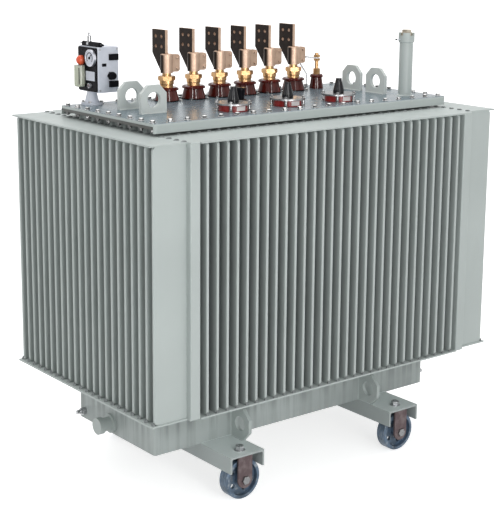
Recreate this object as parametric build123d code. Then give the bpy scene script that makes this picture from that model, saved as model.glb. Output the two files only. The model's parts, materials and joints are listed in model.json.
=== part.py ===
from build123d import *
import os

# Sealed, oil-filled power transformer with corrugated cooling walls, standing on four rollers.
# Millimetres. X runs along the tank, the front is at -Y, Z is up, and the origin is on the ground
# under the middle of the tank.

# Driving dimensions: tank, base and rollers
tank_length = 1410
tank_depth = 540
tank_corner_radius = 12
skirt_height = 209
fin_block_height = 1010
gauge_x = 820
gauge_y = 820
wheel_diameter = 160

# Corrugated walls
fin_pitch = 45
fin_width = 12
fin_tip_radius = 4.5
fin_corner_radius = 18
root_sheet = 3
front_fin_depth = 235
front_fin_end_gap = 20
end_fin_depth = 139
end_fin_setback = 20
cover_thickness = 6
front_cover_overhang = 4
end_cover_overhang = 16
end_cover_side_margin = 6
duct_width = 43
duct_edge_radius = 5

# Rim and lid
rim_rise = 23
rim_thickness = 12
rim_margin = 28
rim_side_width = 45
lid_thickness = 10
lid_overhang = 30
lid_side_overhang = 55
lid_lip_height = 35
lid_lip_thickness = 8
lid_bend_radius = 7
lid_corner_radius = 14

# Lifting lugs
lug_width = 114
lug_height = 106
lug_thickness = 15
lug_chamfer = 31
lug_hole_diameter = 58
lug_hole_height = 51
lug_end_inset = 165
lug_spacing_y = 150

# Low-voltage bushings: porcelain, brass stud and flag terminal
lv_count = 6
lv_pitch = 132
lv_row_offset = 15
lv_row_inset = 120
lv_base_radius = 49
lv_porcelain_height = 56
lv_shed_radius = 48
lv_body_radius = 40
lv_seat_radius = 26
lv_seat_height = 9
lv_cap_radius = 29
lv_cap_height = 17
lv_cap_edge = 3
lv_collar_radius = 35
lv_collar_height = 18
lv_collar_chamfer = 3
lv_collar_turn = 30
lv_neck_radius = 18
lv_neck_height = 12
lv_stud_radius = 15
barrel_radius = 25
barrel_height = 76
barrel_top_radius = 6
barrel_slit = 4
ear_length = 33
ear_thickness = 8
ear_height = 70
ear_radius = 12
palm_width = 92
palm_height = 94
palm_thickness = 13
palm_root = 4
palm_hole_diameter = 14
palm_hole_pitch = 40
bore_clearance = 0.08

# Neutral bushing
neutral_base_radius = 30
neutral_porcelain_height = 62
neutral_stud_radius = 8
neutral_stud_height = 92
neutral_nut_radius = 16
neutral_nut_height = 24
lock_nut_radius = 15
lock_nut_height = 10
lock_nut_rise = 58
strap_width = 22
strap_thickness = 5
strap_reach = 72
strap_lift = 6
strap_drop = 26
strap_return = 28
strap_knee = 62
strap_foot = 34
strap_bend_radius = 9
strap_turn = 139

# High-voltage plug-in bushings
hv_count = 3
hv_pitch = 268
hv_row_offset = -6
hv_row_inset = 145
hv_ring_radius = 55
hv_ring_height = 25
hv_clamp_radius = 70
hv_clamp_thickness = 6
hv_cone_radius = 22
hv_cone_top_radius = 12
hv_cone_height = 60
hv_stud_count = 4
hv_stud_radius = 5.5
hv_stud_gap = 1.5
hv_stud_projection = 9

# Tap-changer knob
knob_offset = -103
knob_setback = 176
knob_radius = 19
knob_height = 48
knob_foot_radius = 24
knob_foot_height = 12

# Filler pipe
filler_end_inset = 123
filler_side_inset = 119
filler_radius = 28.5
filler_height = 262
filler_wall = 4
filler_collar_radius = 33.5
filler_collar_height = 42
filler_foot_radius = 36
filler_foot_height = 6
filler_notch_width = 22
filler_notch_depth = 12
filler_cap_height = 14

# Protection relay on its pedestal
relay_end_inset = 118
relay_side_inset = 43
relay_width = 96
relay_depth = 140
relay_overhang = 34
relay_height = 176
relay_edge_radius = 6
relay_face_thickness = 5
relay_face_margin = 3
pedestal_radius = 18
pedestal_height = 50
pedestal_flare_radius = 29
pedestal_flange_radius = 42
pedestal_flange_height = 9
glass_radius = 23
glass_offset = 11
glass_height = 84
glass_wall = 3
glass_edge_radius = 8
glass_bottom_rise = 18
glass_inset = 30
float_radius = 19
float_offset = 6
float_gap = 0.3
dial_radius = 33
dial_thickness = 9
dial_rise = 134
setting_radius = 9
setting_rise = 26
setting_inset = 45
gland_radius = 17
gland_length = 22
gland_rise = 65
gland_offset = 11
gland_lip = 4
cap_size = 40
cap_height = 24
cap_depth = 8
cap_rise_low = 33
cap_rise_high = 137
petcock_radius = 8
petcock_height = 34
petcock_offset = 19
manifold_radius = 9
manifold_length = 124

# Base channels, haulage eyes and roller forks
channel_width = 160
channel_height = 65
channel_thickness = 7.5
channel_overhang = 50
channel_fillet = 6
eye_reach = 112
eye_height = 128
eye_thickness = 15
eye_chamfer = 38
eye_hole_diameter = 60
wheel_width = 48
wheel_rim = 14
wheel_web = 14
wheel_hub_radius = 26
wheel_edge_radius = 3
wheel_hole_count = 5
wheel_hole_radius = 10
fork_plate_width = 66
fork_plate_thickness = 8
fork_gap = 5
fork_drop = 102
axle_radius = 10
axle_head_radius = 17
axle_head_length = 9

# Fittings on the skirt
drain_offset = 34
drain_rise = 40
drain_radius = 27
drain_length = 34
drain_flange_radius = 38
drain_flange_length = 9
drain_plug_radius = 33
drain_plug_length = 22
earth_inset = 42
earth_rise = 34
earth_boss_radius = 15
earth_boss_length = 16
earth_bolt_radius = 8
earth_bolt_length = 24

# Levels, from the ground up
cut_overrun = 5
axle_height = wheel_diameter / 2
channel_top = axle_height + fork_drop + channel_thickness
fin_bottom = channel_top + skirt_height
fin_top = fin_bottom + fin_block_height
rim_bottom = fin_top + rim_rise
lid_bottom = rim_bottom + rim_thickness
lid_top = lid_bottom + lid_thickness
half_length = tank_length / 2
half_depth = tank_depth / 2
front_tip = half_depth + front_fin_depth
end_tip = half_length + end_fin_depth
duct_inner = half_length - duct_width
front_fin_count = int((2 * (duct_inner - front_fin_end_gap) - fin_width) // fin_pitch) + 1
end_fin_count = int((2 * (front_tip - end_fin_setback) - fin_width) // fin_pitch) + 1
end_wall_half = (end_fin_count - 1) * fin_pitch / 2 + fin_width / 2
fin_height = fin_block_height - 2 * cover_thickness

# Places on the lid, each held to the lid edge that it belongs to
lid_half_length = half_length + lid_overhang
lid_half_depth = half_depth + lid_side_overhang
lug_x = lid_half_length - lug_end_inset
lv_row_y = lid_half_depth - lv_row_inset
hv_row_y = hv_row_inset - lid_half_depth
knob_y = hv_row_y + knob_setback
filler_x = lid_half_length - filler_end_inset
filler_y = filler_side_inset - lid_half_depth
relay_x = relay_end_inset + relay_overhang - lid_half_length
relay_y = lid_half_depth - relay_side_inset


def block(x_low, x_high, y_low, y_high, z_low, z_high):
    """A box given by its six faces."""
    box = Box(x_high - x_low, y_high - y_low, z_high - z_low)
    return Pos((x_low + x_high) / 2, (y_low + y_high) / 2, (z_low + z_high) / 2) * box


def turned(outline):
    """A solid of revolution about Z from (radius, height) points, closed along the axis."""
    face = make_face(Polyline(*outline, close=True))
    return revolve(Plane.XZ * face, Axis.Z)


def hexagon_bar(radius, length):
    """An upright hexagonal bar standing on z = 0."""
    return extrude(RegularPolygon(radius, 6), length)


def save(name, pieces):
    """Write one node, made of one solid or of several that stand apart."""
    solids = pieces if isinstance(pieces, list) else [pieces]
    shape = solids[0] if len(solids) == 1 else Compound(children=solids)
    export_step(shape, f"parts/{name}.step")


def mirrored(piece):
    """A piece with its mirror images about both upright middle planes."""
    pair = [piece, mirror(piece, Plane.YZ)]
    return pair + [mirror(each, Plane.XZ) for each in pair]


def tank_outline():
    return RectangleRounded(tank_length, tank_depth, tank_corner_radius)


def tank_body():
    """The tank from the foot of its skirt up to the lid."""
    return Pos(0, 0, channel_top) * extrude(tank_outline(), lid_bottom - channel_top)


def tank_rim():
    """The bolting flange round the mouth of the tank."""
    length = tank_length + 2 * rim_margin
    depth = tank_depth + 2 * rim_side_width
    frame = RectangleRounded(length, depth, lid_corner_radius) - tank_outline()
    return Pos(0, 0, rim_bottom) * extrude(frame, rim_thickness)


def lid():
    """A flat cover with its two long edges folded down over the flange."""
    depth = 2 * lid_half_depth
    length = 2 * lid_half_length
    section = Rectangle(depth, lid_lip_height)
    section = fillet(section.vertices().group_by(Axis.Y)[-1], lid_bend_radius)
    hollow = Rectangle(depth - 2 * lid_lip_thickness, lid_lip_height)
    section = section - Pos(0, -lid_thickness) * hollow
    cover = extrude(Plane.YZ * section, amount=length / 2, both=True)
    corners = extrude(RectangleRounded(length, depth, lid_corner_radius), lid_lip_height, both=True)
    return Pos(0, 0, lid_top - lid_lip_height / 2) * (cover & corners)


def fin_wall(count, depth, length):
    """One folded wall: upright ribs on a root sheet, facing -Y from a root face on y = 0."""
    sheet = Pos(0, -root_sheet / 2) * Rectangle(length, root_sheet)
    rib = Pos(0, -depth / 2) * Rectangle(fin_width, depth)
    rib = fillet(rib.vertices().group_by(Axis.Y)[0], fin_tip_radius)
    plan = sheet
    for place in GridLocations(fin_pitch, fin_pitch, count, 1):
        plan = plan + place * rib
    wall = extrude(plan, fin_height)
    spare = fin_corner_radius + cut_overrun
    corner = square_corner(spare) - Circle(fin_corner_radius)
    corner = Pos(fin_corner_radius, -fin_corner_radius) * corner
    top_cut = extrude(Plane.YZ * (Pos(-depth, fin_height) * corner), amount=length / 2, both=True)
    low_cut = mirror(top_cut, Plane.XY.offset(fin_height / 2))
    return Pos(0, 0, fin_bottom + cover_thickness) * (wall - top_cut - low_cut)


def square_corner(side):
    """A square whose lower right corner is at the origin."""
    return Pos(-side / 2, side / 2) * Rectangle(side, side)


def front_fin_wall():
    wall = fin_wall(front_fin_count, front_fin_depth, 2 * duct_inner)
    return Pos(0, -half_depth, 0) * wall


def left_fin_wall():
    wall = fin_wall(end_fin_count, end_fin_depth, 2 * end_wall_half)
    return Pos(-half_length, 0, 0) * Rot(0, 0, -90) * wall


def front_fin_plates():
    """The cover strips that close the front ribs at the top and the bottom."""
    y_low = -(front_tip + front_cover_overhang)
    low = block(-duct_inner, duct_inner, y_low, -half_depth, fin_bottom, fin_bottom + cover_thickness)
    return [low, Pos(0, 0, fin_block_height - cover_thickness) * low]


def left_fin_plates():
    """The cover strips of the left ribs, which reach past the rib tips."""
    x_low = -(end_tip + end_cover_overhang)
    reach = end_wall_half + end_cover_side_margin
    low = block(x_low, -half_length, -reach, reach, fin_bottom, fin_bottom + cover_thickness)
    return [low, Pos(0, 0, fin_block_height - cover_thickness) * low]


def corner_ducts():
    """The flat oil ducts that close the front and rear walls at the four corners of the tank."""
    duct = block(-half_length, -duct_inner, -front_tip, -half_depth, fin_bottom, fin_top)
    front = duct.faces().sort_by(Axis.Y)[0]
    return mirrored(fillet(front.edges(), duct_edge_radius))


def eye_plate(width, height, thickness, chamfer_size, hole_diameter, hole_height):
    """An upright plate with cut top corners and a round eye, standing on z = 0 along X."""
    plate = Pos(0, height / 2) * Rectangle(width, height)
    plate = chamfer(plate.vertices().group_by(Axis.Y)[-1], chamfer_size)
    plate = plate - Pos(0, hole_height) * Circle(hole_diameter / 2)
    return extrude(Plane.XZ * plate, amount=thickness / 2, both=True)


def lifting_lugs():
    """Two lugs along the tank at the left and two across it at the right."""
    lug = eye_plate(lug_width, lug_height, lug_thickness, lug_chamfer, lug_hole_diameter, lug_hole_height)
    lugs = []
    for side, turn in ((-1, 0), (1, 90)):
        for row in (-1, 1):
            place = Pos(side * lug_x, row * lug_spacing_y / 2, lid_top)
            lugs.append(place * Rot(0, 0, turn) * lug)
    return lugs


def lv_places():
    """The feet of the low-voltage bushings on the lid."""
    first = lv_row_offset - (lv_count - 1) * lv_pitch / 2
    return [Pos(first + index * lv_pitch, lv_row_y, lid_top) for index in range(lv_count)]


def porcelain_outline(base, body, shed, height):
    """A flared porcelain foot with one shed rim, as (radius, height) points."""
    waist_share, rim_low_share, rim_high_share, foot_share = 0.74, 0.8, 0.92, 0.1
    return [
        (0, 0),
        (base, 0),
        (base, foot_share * height),
        (body, waist_share * height),
        (shed, rim_low_share * height),
        (shed, rim_high_share * height),
        (body, height),
        (0, height),
    ]


def lv_porcelain():
    outline = porcelain_outline(lv_base_radius, lv_body_radius, lv_shed_radius, lv_porcelain_height)
    foot = turned(outline)
    return [place * foot for place in lv_places()]


def lv_stud():
    """The brass cap, hexagon collar and stud of one low-voltage bushing, above its porcelain."""
    cap_top = lv_seat_height + lv_cap_height
    collar_top = cap_top + lv_collar_height
    neck_top = collar_top + lv_neck_height
    stud_top = neck_top + barrel_height
    stud = turned([
        (0, 0),
        (lv_seat_radius, 0),
        (lv_seat_radius, lv_seat_height),
        (lv_cap_radius, lv_seat_height + lv_cap_edge),
        (lv_cap_radius, cap_top),
        (lv_neck_radius, cap_top),
        (lv_neck_radius, neck_top),
        (lv_stud_radius, neck_top),
        (lv_stud_radius, stud_top),
        (0, stud_top),
    ])
    collar = hexagon_bar(lv_collar_radius, lv_collar_height) & turned([
        (0, 0),
        (lv_collar_radius - lv_collar_chamfer, 0),
        (lv_collar_radius, lv_collar_chamfer),
        (lv_collar_radius, lv_collar_height - lv_collar_chamfer),
        (lv_collar_radius - lv_collar_chamfer, lv_collar_height),
        (0, lv_collar_height),
    ])
    return stud + Pos(0, 0, cap_top) * Rot(0, 0, lv_collar_turn) * collar


def lv_studs():
    stud = Pos(0, 0, lv_porcelain_height) * lv_stud()
    return [place * stud for place in lv_places()]


def lv_flag():
    """A split clamp with two bolting ears and an upright palm, standing on z = 0."""
    bore = Circle(lv_stud_radius + bore_clearance)
    barrel = extrude(Circle(barrel_radius), barrel_height)
    barrel = fillet(barrel.edges().group_by(Axis.Z)[-1], barrel_top_radius)
    ear_reach = barrel_radius + ear_length
    ears = Pos(ear_reach / 2, 0) * Rectangle(ear_reach, ear_height)
    ears = fillet(ears.vertices().group_by(Axis.X)[-1], ear_radius)
    ears = extrude(Plane.XZ * ears, amount=ear_thickness + barrel_slit / 2, both=True)
    ears = Pos(0, 0, barrel_height / 2) * ears
    total = barrel_height + palm_height
    palm = make_face(Polyline(
        (0, 0),
        (barrel_radius + palm_root, 0),
        (palm_width, barrel_height),
        (palm_width, total),
        (0, total),
        close=True,
    ))
    hole_row = Pos(palm_width / 2, barrel_height + palm_height / 2)
    for place in GridLocations(palm_hole_pitch, palm_hole_pitch, 2, 2):
        palm = palm - hole_row * place * Circle(palm_hole_diameter / 2)
    palm = extrude(Plane.YZ * palm, amount=palm_thickness / 2, both=True)
    flag = barrel + ears + palm
    slit = block(0, ear_reach + cut_overrun, -barrel_slit / 2, barrel_slit / 2, 0, barrel_height)
    return flag - extrude(bore, barrel_height) - slit


def lv_flags():
    rise = lv_porcelain_height + lv_seat_height + lv_cap_height + lv_collar_height + lv_neck_height
    flag = Pos(0, 0, rise) * lv_flag()
    return [place * flag for place in lv_places()]


def neutral_place():
    """The neutral bushing carries on the low-voltage row by one more pitch."""
    return Pos(lv_row_offset + (lv_count + 1) * lv_pitch / 2, lv_row_y, lid_top)


def neutral_porcelain():
    body_share, shed_share = 0.8, 0.95
    body = body_share * neutral_base_radius
    shed = shed_share * neutral_base_radius
    outline = porcelain_outline(neutral_base_radius, body, shed, neutral_porcelain_height)
    return neutral_place() * turned(outline)


def neutral_stud():
    """The neutral stud with its seat nut, standing on the porcelain."""
    stud = extrude(Circle(neutral_stud_radius), neutral_stud_height)
    stud = stud + hexagon_bar(neutral_nut_radius, neutral_nut_height)
    lock_nut = hexagon_bar(lock_nut_radius, lock_nut_height)
    for rise in (lock_nut_rise, lock_nut_rise + lock_nut_height + strap_thickness):
        stud = stud + Pos(0, 0, rise) * lock_nut
    return neutral_place() * Pos(0, 0, neutral_porcelain_height) * stud


def neutral_strap():
    """The bent earthing strap, from between the lock nuts out, back and down to a foot on the lid."""
    thick = strap_thickness
    level = neutral_porcelain_height + lock_nut_rise + lock_nut_height + thick / 2
    knee_reach = strap_reach - strap_return
    route = FilletPolyline(
        (-strap_width / 2, level),
        (strap_width, level),
        (strap_reach, level + strap_lift),
        (strap_reach, level - strap_drop),
        (knee_reach, strap_knee),
        (knee_reach, thick / 2),
        (knee_reach + strap_foot, thick / 2),
        radius=strap_bend_radius,
    )
    strap = extrude(Plane.XZ * trace(route, thick), amount=strap_width / 2, both=True)
    bore = extrude(Circle(neutral_stud_radius + bore_clearance), thick)
    strap = strap - Pos(0, 0, level - thick / 2) * bore
    return neutral_place() * Rot(0, 0, strap_turn) * strap


def hv_places():
    first = hv_row_offset - (hv_count - 1) * hv_pitch / 2
    return [Pos(first + index * hv_pitch, hv_row_y, lid_top) for index in range(hv_count)]


def hv_rings():
    ring = extrude(Circle(hv_ring_radius), hv_ring_height)
    return [place * ring for place in hv_places()]


def hv_clamps():
    """The round clamp ring on each high-voltage ring, with its upright studs just outside it."""
    plate = Circle(hv_clamp_radius) - Circle(hv_cone_radius + bore_clearance)
    clamp = Pos(0, 0, hv_ring_height) * extrude(plate, hv_clamp_thickness)
    stud_height = hv_ring_height + hv_clamp_thickness + hv_stud_projection
    stud = extrude(Circle(hv_stud_radius), stud_height)
    stud_circle = hv_ring_radius + hv_stud_gap + hv_stud_radius
    half_step = 180 / hv_stud_count
    for spot in PolarLocations(stud_circle, hv_stud_count, start_angle=half_step):
        clamp = clamp + spot * stud
    return [place * clamp for place in hv_places()]


def hv_cones():
    """The black taper plugs over the high-voltage conductors."""
    shoulder_share = 0.2
    shoulder = hv_clamp_thickness + shoulder_share * hv_cone_height
    cone = turned([
        (0, 0),
        (hv_cone_radius, 0),
        (hv_cone_radius, shoulder),
        (hv_cone_top_radius, hv_cone_height),
        (hv_cone_top_radius, hv_clamp_thickness + hv_cone_height),
        (0, hv_clamp_thickness + hv_cone_height),
    ])
    return [place * Pos(0, 0, hv_ring_height) * cone for place in hv_places()]


def tap_changer_knob():
    """The setting knob of the tap changer on its round foot."""
    waist_share = 0.7
    knob = turned([
        (0, 0),
        (knob_foot_radius, 0),
        (knob_foot_radius, knob_foot_height),
        (waist_share * knob_radius, knob_foot_height),
        (knob_radius, knob_height),
        (knob_radius, knob_foot_height + knob_height),
        (0, knob_foot_height + knob_height),
    ])
    return Pos(knob_offset, knob_y, lid_top) * knob


def filler_pipe():
    """The upright filling pipe with a foot weld ring and a notched collar."""
    collar_low = filler_height - filler_collar_height
    inner = filler_radius - filler_wall
    outline = [
        (inner, 0),
        (filler_foot_radius, 0),
        (filler_radius, filler_foot_height),
        (filler_radius, collar_low),
        (filler_collar_radius, collar_low + filler_wall),
        (filler_collar_radius, filler_height),
        (inner, filler_height),
    ]
    pipe = turned(outline)
    span = 2 * filler_collar_radius + cut_overrun
    notch = Pos(0, 0, filler_height - filler_notch_depth / 2)
    for turn in (0, 90):
        pipe = pipe - notch * Rot(0, 0, turn) * Box(span, filler_notch_width, filler_notch_depth)
    return Pos(filler_x, filler_y, lid_top) * pipe


def filler_cap():
    """The plug that closes the filling pipe, with a square key."""
    inner = filler_radius - filler_wall
    depth = filler_notch_depth + filler_cap_height
    plug = extrude(Circle(inner), depth)
    key_share = 1.1
    key = extrude(Rectangle(key_share * inner, key_share * inner), depth + filler_notch_depth)
    return Pos(filler_x, filler_y, lid_top + filler_height - depth) * (plug + key)


def relay_pedestal():
    """The tapered neck and bolting flange under the protection relay."""
    pedestal = turned([
        (0, 0),
        (pedestal_flange_radius, 0),
        (pedestal_flange_radius, pedestal_flange_height),
        (pedestal_flare_radius, pedestal_flange_height),
        (pedestal_radius, pedestal_height),
        (0, pedestal_height),
    ])
    return Pos(relay_x - relay_overhang, relay_y, lid_top) * pedestal


relay_base = lid_top + pedestal_height
relay_left = relay_x - relay_width / 2
relay_front = relay_y - relay_depth / 2
relay_face_x = relay_left - relay_face_thickness


def relay_housing():
    case = Box(relay_width, relay_depth, relay_height)
    case = Pos(relay_x, relay_y, relay_base + relay_height / 2) * case
    return fillet(case.edges().filter_by(Axis.Z), relay_edge_radius)


def relay_face():
    """The dark instrument face on the left of the relay."""
    face = Rectangle(relay_depth - 2 * relay_face_margin, relay_height - 2 * relay_face_margin)
    face = fillet(face.vertices(), relay_edge_radius)
    face = extrude(Plane.YZ * face, -relay_face_thickness)
    return Pos(relay_left, relay_y, relay_base + relay_height / 2) * face


def on_face(inset, rise):
    """A place on the relay's face, by its distance in from the rear edge and its height."""
    rear_edge = relay_y + relay_depth / 2 - relay_face_margin
    return Pos(relay_face_x, rear_edge - inset, relay_base + rise)


def in_front(solid, reach):
    """The share of a solid that stands in front of the face, which is its own YZ plane."""
    return solid & block(-reach, 0, -reach, reach, -reach, reach)


def relay_level_glass():
    """The clear round level glass, hollow and cut flat where it meets the face."""
    outer = Pos(0, 0, glass_height / 2) * Cylinder(glass_radius, glass_height)
    outer = fillet(outer.edges().group_by(Axis.Z)[0], glass_edge_radius)
    hollow = Cylinder(glass_radius - glass_wall, glass_height - 2 * glass_wall)
    shell = outer - Pos(0, 0, glass_height / 2) * hollow
    shell = in_front(Pos(-glass_offset, 0, 0) * shell, 2 * glass_height)
    return on_face(glass_inset, glass_bottom_rise) * shell


def relay_float():
    """The bright float ball over the level glass, cut flat where it meets the face."""
    ball = in_front(Pos(-float_offset, 0, 0) * Sphere(float_radius), 2 * float_radius)
    return on_face(glass_inset, glass_bottom_rise + glass_height + float_gap + float_radius) * ball


def relay_dials():
    """The large round dial on the front half of the face, and the small setting dial under it."""
    dial = extrude(Plane.YZ * Circle(dial_radius), -dial_thickness)
    setting = extrude(Plane.YZ * Circle(setting_radius), -dial_thickness)
    face_depth = relay_depth - 2 * relay_face_margin
    return [
        on_face(face_depth - dial_radius, dial_rise) * dial,
        on_face(face_depth - setting_inset, setting_rise) * setting,
    ]


def relay_glands():
    """One round cable gland with a collar, and two square caps, on the front of the relay."""
    cap_x = relay_x + relay_width / 2 - relay_edge_radius - cap_size / 2
    gland = extrude(Plane.XZ * Circle(gland_radius - gland_lip), gland_length)
    gland = gland + extrude(Plane.XZ * RegularPolygon(gland_radius, 6), gland_length / 2)
    cap = extrude(Plane.XZ * Rectangle(cap_size, cap_height), cap_depth)
    pieces = [Pos(relay_x + gland_offset, relay_front, relay_base + gland_rise) * gland]
    for rise in (cap_rise_low, cap_rise_high):
        pieces.append(Pos(cap_x, relay_front, relay_base + rise) * cap)
    return pieces


def relay_manifold():
    """The dark sampling manifold that lies on top of the relay."""
    section = Pos(0, manifold_radius) * Circle(manifold_radius)
    section = section + Pos(0, manifold_radius / 2) * Rectangle(2 * manifold_radius, manifold_radius)
    bar = extrude(Plane.XZ * section, manifold_length / 2, both=True)
    return Pos(relay_left + 2 * manifold_radius, relay_y, relay_base + relay_height) * bar


def relay_petcock():
    """The upright sampling tap on the manifold."""
    rise = relay_base + relay_height + 2 * manifold_radius
    waist_share = 0.6
    tap = turned([
        (0, 0),
        (petcock_radius, 0),
        (petcock_radius, waist_share * petcock_height),
        (waist_share * petcock_radius, waist_share * petcock_height),
        (waist_share * petcock_radius, petcock_height),
        (0, petcock_height),
    ])
    return Pos(relay_left + 2 * manifold_radius, relay_y + petcock_offset, rise) * tap


def base_channel():
    """A rolled channel lying web up across the tank, with rounded inner corners."""
    section = Rectangle(channel_width, channel_height)
    inner_width = channel_width - 2 * channel_thickness
    inner = Pos(0, -channel_thickness) * Rectangle(inner_width, channel_height)
    inner = fillet(inner.vertices().group_by(Axis.Y)[-1], channel_fillet)
    bar = extrude(Plane.XZ * (section - inner), amount=gauge_y / 2 + channel_overhang, both=True)
    return Pos(gauge_x / 2, 0, channel_top - channel_height / 2) * bar


def haulage_eyes():
    """Hauling eyes that stand on the channels against the skirt, at the inner channel edges."""
    eye = Rectangle(eye_reach, eye_height)
    eye = chamfer(eye.vertices().group_by(Axis.X)[0], eye_chamfer)
    eye = eye - Circle(eye_hole_diameter / 2)
    eye = extrude(Plane.YZ * eye, amount=eye_thickness / 2, both=True)
    eye_x = gauge_x / 2 - channel_width / 2 + eye_thickness / 2
    place = Pos(eye_x, -(half_depth + eye_reach / 2), channel_top + eye_height / 2)
    return mirrored(place * eye)


def wheel():
    """A cast roller about Y: rim, thinner web with round openings, and a hub with a running bore."""
    outer = wheel_diameter / 2
    bore = axle_radius + bore_clearance
    half = wheel_width / 2
    roller = turned([
        (bore, -half),
        (wheel_hub_radius, -half),
        (wheel_hub_radius, -wheel_web / 2),
        (outer - wheel_rim, -wheel_web / 2),
        (outer - wheel_rim, -half),
        (outer - wheel_edge_radius, -half),
        (outer, wheel_edge_radius - half),
        (outer, half - wheel_edge_radius),
        (outer - wheel_edge_radius, half),
        (outer - wheel_rim, half),
        (outer - wheel_rim, wheel_web / 2),
        (wheel_hub_radius, wheel_web / 2),
        (wheel_hub_radius, half),
        (bore, half),
    ])
    ring = (wheel_hub_radius + outer - wheel_rim) / 2
    opening = extrude(Circle(wheel_hole_radius), wheel_web, both=True)
    for spot in PolarLocations(ring, wheel_hole_count):
        roller = roller - spot * opening
    return Rot(90, 0, 0) * roller


def wheel_fork():
    """The bent strap that hangs a roller under the channel web."""
    plate = fork_plate_thickness
    gap = wheel_width / 2 + fork_gap
    outer = gap + plate
    half = fork_plate_width / 2
    cheek = Pos(0, fork_drop / 2) * Rectangle(fork_plate_width, fork_drop) + Circle(half)
    cheek = cheek - Circle(axle_radius + bore_clearance)
    cheek = extrude(Plane.XZ * cheek, plate)
    bridge = block(-half, half, -outer, outer, fork_drop - plate, fork_drop)
    return Pos(0, -gap, 0) * cheek + Pos(0, outer, 0) * cheek + bridge


def wheel_axle():
    """The through bolt of one roller, with a hexagon at both ends."""
    outer = wheel_width / 2 + fork_gap + fork_plate_thickness
    shank = extrude(Plane.XZ * Circle(axle_radius), outer, both=True)
    head = extrude(Plane.XZ * RegularPolygon(axle_head_radius, 6), axle_head_length)
    return shank + Pos(0, -outer, 0) * head + Pos(0, outer + axle_head_length, 0) * head


def wheel_places():
    """Roller centres by name."""
    places = {}
    for end, side_y in (("front", -1), ("rear", 1)):
        for side, side_x in (("left", -1), ("right", 1)):
            places[f"{end}_{side}"] = Pos(side_x * gauge_x / 2, side_y * gauge_y / 2, axle_height)
    return places


def drain_valve():
    """The oil drain on the left of the skirt: flange, neck and screwed plug."""
    flange_end = drain_flange_length
    neck_end = flange_end + drain_length
    plug_end = neck_end + drain_plug_length
    valve = turned([
        (0, 0),
        (drain_flange_radius, 0),
        (drain_flange_radius, flange_end),
        (drain_radius, flange_end),
        (drain_radius, neck_end),
        (drain_plug_radius, neck_end),
        (drain_plug_radius, plug_end),
        (0, plug_end),
    ])
    return Pos(-half_length, drain_offset, channel_top + drain_rise) * Rot(0, -90, 0) * valve


def earth_terminals():
    """One earthing boss with its bolt at each end of the skirt, set crosswise."""
    nut_share = 1.7
    boss = extrude(Circle(earth_boss_radius), earth_boss_length)
    bolt = extrude(Circle(earth_bolt_radius), earth_boss_length + earth_bolt_length)
    nut = Pos(0, 0, earth_boss_length) * hexagon_bar(nut_share * earth_bolt_radius, earth_bolt_radius)
    terminal = Rot(0, -90, 0) * (boss + bolt + nut)
    left = Pos(-half_length, half_depth - earth_inset, channel_top + earth_rise) * terminal
    return [left, Rot(0, 0, 180) * left]


def turned_round(pieces):
    """The same pieces on the opposite side of the tank."""
    solids = pieces if isinstance(pieces, list) else [pieces]
    return [Rot(0, 0, 180) * each for each in solids]


def main():
    os.makedirs("parts", exist_ok=True)
    save("tank_body", tank_body())
    save("tank_rim", tank_rim())
    save("lid", lid())
    save("front_fin_wall", front_fin_wall())
    save("rear_fin_wall", turned_round(front_fin_wall()))
    save("left_fin_wall", left_fin_wall())
    save("right_fin_wall", turned_round(left_fin_wall()))
    save("front_fin_plates", front_fin_plates())
    save("rear_fin_plates", turned_round(front_fin_plates()))
    save("left_fin_plates", left_fin_plates())
    save("right_fin_plates", turned_round(left_fin_plates()))
    save("corner_ducts", corner_ducts())
    save("lifting_lugs", lifting_lugs())
    save("lv_porcelain", lv_porcelain())
    save("lv_studs", lv_studs())
    save("lv_flags", lv_flags())
    save("neutral_porcelain", neutral_porcelain())
    save("neutral_stud", neutral_stud())
    save("neutral_strap", neutral_strap())
    save("hv_rings", hv_rings())
    save("hv_clamps", hv_clamps())
    save("hv_cones", hv_cones())
    save("tap_changer_knob", tap_changer_knob())
    save("filler_pipe", filler_pipe())
    save("filler_cap", filler_cap())
    save("relay_pedestal", relay_pedestal())
    save("relay_housing", relay_housing())
    save("relay_face", relay_face())
    save("relay_level_glass", relay_level_glass())
    save("relay_float", relay_float())
    save("relay_dials", relay_dials())
    save("relay_glands", relay_glands())
    save("relay_manifold", relay_manifold())
    save("relay_petcock", relay_petcock())
    save("base_channel_right", base_channel())
    save("base_channel_left", turned_round(base_channel()))
    save("haulage_eyes", haulage_eyes())
    save("wheel_forks", [place * wheel_fork() for place in wheel_places().values()])
    save("wheel_axles", [place * wheel_axle() for place in wheel_places().values()])
    for name, place in wheel_places().items():
        save(f"wheel_{name}", place * wheel())
    save("drain_valve", drain_valve())
    save("earth_terminals", earth_terminals())


main()
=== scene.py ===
import json
import math
import random

import bmesh
import bpy
from mathutils import Matrix, Vector

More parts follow.
